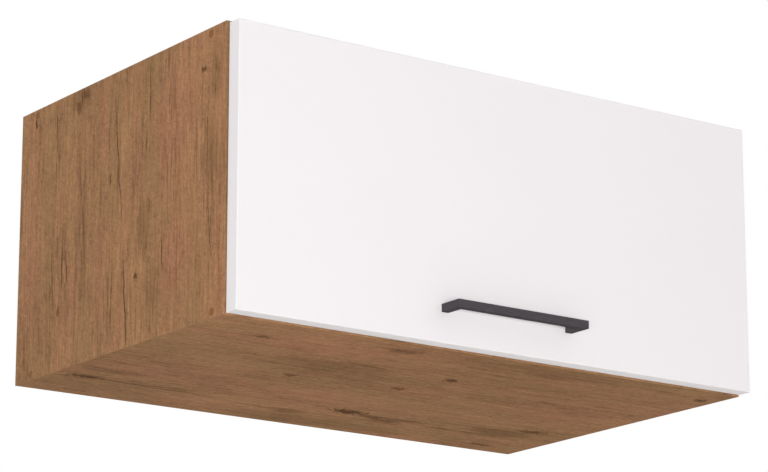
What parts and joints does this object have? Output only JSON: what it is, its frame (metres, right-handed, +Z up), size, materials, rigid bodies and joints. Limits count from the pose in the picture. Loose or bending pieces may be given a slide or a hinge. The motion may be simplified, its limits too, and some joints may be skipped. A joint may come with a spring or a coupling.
{
  "type": "wall cabinet with lift-up flap",
  "caption": "Low, wide and deep wall-hung kitchen cabinet in oak decor, with a white flap that lifts on cup hinges and gas struts, and a dark bar handle.",
  "frame": {"origin": "on the wall plane and the cabinet's centre line, at mid-thickness of the top panel's rear edge", "axes": "+Z up, front faces -Y, +X to the right when seen from the front"},
  "size_m": [0.8, 0.5495, 0.36],
  "materials": {
    "oak_board": "satin oak decor",
    "oak_band": "satin oak decor",
    "back_sheet": "matt",
    "brown_plastic": "satin",
    "white_board": "white satin foil",
    "white_band": "satin",
    "handle_finish": "dark satin",
    "zinc_steel": "zinc plated",
    "nickel": "nickel plated",
    "hanger_plastic": "satin",
    "strut_paint": "satin grey",
    "strut_plastic": "satin",
    "rod_chrome": "polished",
    "bumper_rubber": "clear soft"
  },
  "bodies": {
    "carcass": {"side_panel_left": "oak_board", "side_panel_right": "oak_board", "top_panel": "oak_board", "bottom_panel": "oak_board", "carcass_edge_bands": "oak_band", "back_panel": "back_sheet", "screw_caps": "brown_plastic", "carcass_screws": "zinc_steel", "hanger_hook_left": "zinc_steel", "hanger_hook_right": "zinc_steel", "hanger_adjusting_screws": "zinc_steel", "hanger_fixing_screws": "zinc_steel", "hinge_plate_screws": "zinc_steel", "hinge_adjusting_screws": "zinc_steel", "strut_side_bracket_left": "zinc_steel", "strut_side_bracket_right": "zinc_steel", "strut_side_bracket_screws": "zinc_steel", "hinge_arm_left": "nickel", "hinge_arm_right": "nickel", "hinge_plate_left": "nickel", "hinge_plate_right": "nickel", "hanger_housing_left": "hanger_plastic", "hanger_housing_right": "hanger_plastic", "hanger_cover_left": "hanger_plastic", "hanger_cover_right": "hanger_plastic"},
    "flap": {"flap_panel": "white_board", "flap_edge_bands": "white_band", "handle": "handle_finish", "handle_screws": "zinc_steel", "flap_bumpers": "bumper_rubber", "hinge_cup_left": "nickel", "hinge_cup_right": "nickel", "hinge_pin_left": "nickel", "hinge_pin_right": "nickel", "hinge_cup_screws": "zinc_steel", "strut_flap_bracket_left": "zinc_steel", "strut_flap_bracket_right": "zinc_steel", "strut_flap_bracket_screws": "zinc_steel"},
    "left_strut_cylinder": {"strut_cylinder_left": "strut_paint", "strut_gland_left": "strut_plastic", "strut_cylinder_eye_left": "strut_plastic"},
    "left_strut_rod": {"strut_rod_left": "rod_chrome", "strut_piston_left": "strut_plastic", "strut_rod_eye_left": "strut_plastic"},
    "right_strut_cylinder": {"strut_cylinder_right": "strut_paint", "strut_gland_right": "strut_plastic", "strut_cylinder_eye_right": "strut_plastic"},
    "right_strut_rod": {"strut_rod_right": "rod_chrome", "strut_piston_right": "strut_plastic", "strut_rod_eye_right": "strut_plastic"}
  },
  "joints": [
    {"name": "flap_lift", "type": "hinge", "parent": "carcass", "child": "flap", "pos_m": [0, -0.5015, -0.0025], "axis": [-1, 0, 0], "range_deg": [0, 90]},
    {"name": "left_strut_swing", "type": "hinge", "parent": "carcass", "child": "left_strut_cylinder", "pos_m": [-0.371, -0.34176, -0.0305], "axis": [-1, 0, 0], "range_deg": [0, 45]},
    {"name": "left_rod_swing", "type": "hinge", "parent": "flap", "child": "left_strut_rod", "pos_m": [-0.371, -0.482, -0.1635], "axis": [-1, 0, 0], "range_deg": [-45, 0]},
    {"name": "right_strut_swing", "type": "hinge", "parent": "carcass", "child": "right_strut_cylinder", "pos_m": [0.371, -0.34176, -0.0305], "axis": [-1, 0, 0], "range_deg": [0, 45]},
    {"name": "right_rod_swing", "type": "hinge", "parent": "flap", "child": "right_strut_rod", "pos_m": [0.371, -0.482, -0.1635], "axis": [-1, 0, 0], "range_deg": [-45, 0]}
  ],
  "couplings": [
    {"joint": "left_strut_swing", "follows": "flap_lift", "ratio": 0.5},
    {"joint": "left_rod_swing", "follows": "flap_lift", "ratio": -0.5},
    {"joint": "right_strut_swing", "follows": "flap_lift", "ratio": 0.5},
    {"joint": "right_rod_swing", "follows": "flap_lift", "ratio": -0.5}
  ]
}
